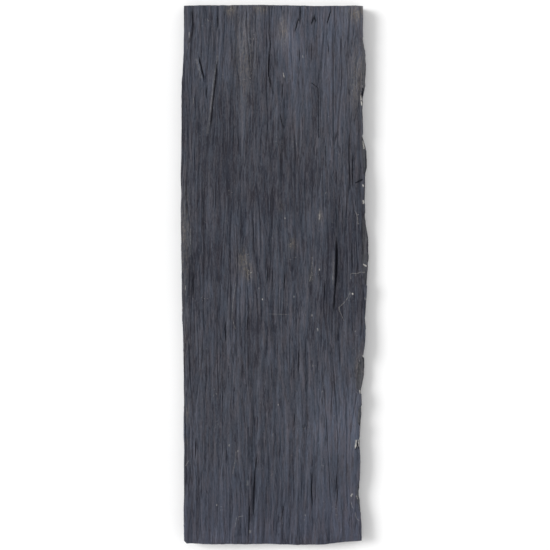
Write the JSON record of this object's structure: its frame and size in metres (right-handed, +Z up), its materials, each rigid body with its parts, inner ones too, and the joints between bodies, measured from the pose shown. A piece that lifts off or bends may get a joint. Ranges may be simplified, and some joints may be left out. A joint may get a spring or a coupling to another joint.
{
  "type": "slate slab",
  "caption": "Long riven slab of dark slate with a fibrous cleft face, sawn ends and a scalloped, broken long side, for paving, cladding or a garden screen.",
  "frame": {"origin": "on the plane the slab rests on, under the middle of its length and width", "axes": "+Z is up, out of the cleft face; +Y runs along the slab and its grain, towards the end with the long open split; +X runs across it, towards the scalloped side"},
  "size_m": [0.5231, 1.4995, 0.0469],
  "materials": {
    "slate": "riven, matt to faintly satin, dark blue-grey with rust-brown staining"
  },
  "bodies": {
    "root": {"slab": "slate"}
  },
  "joints": []
}
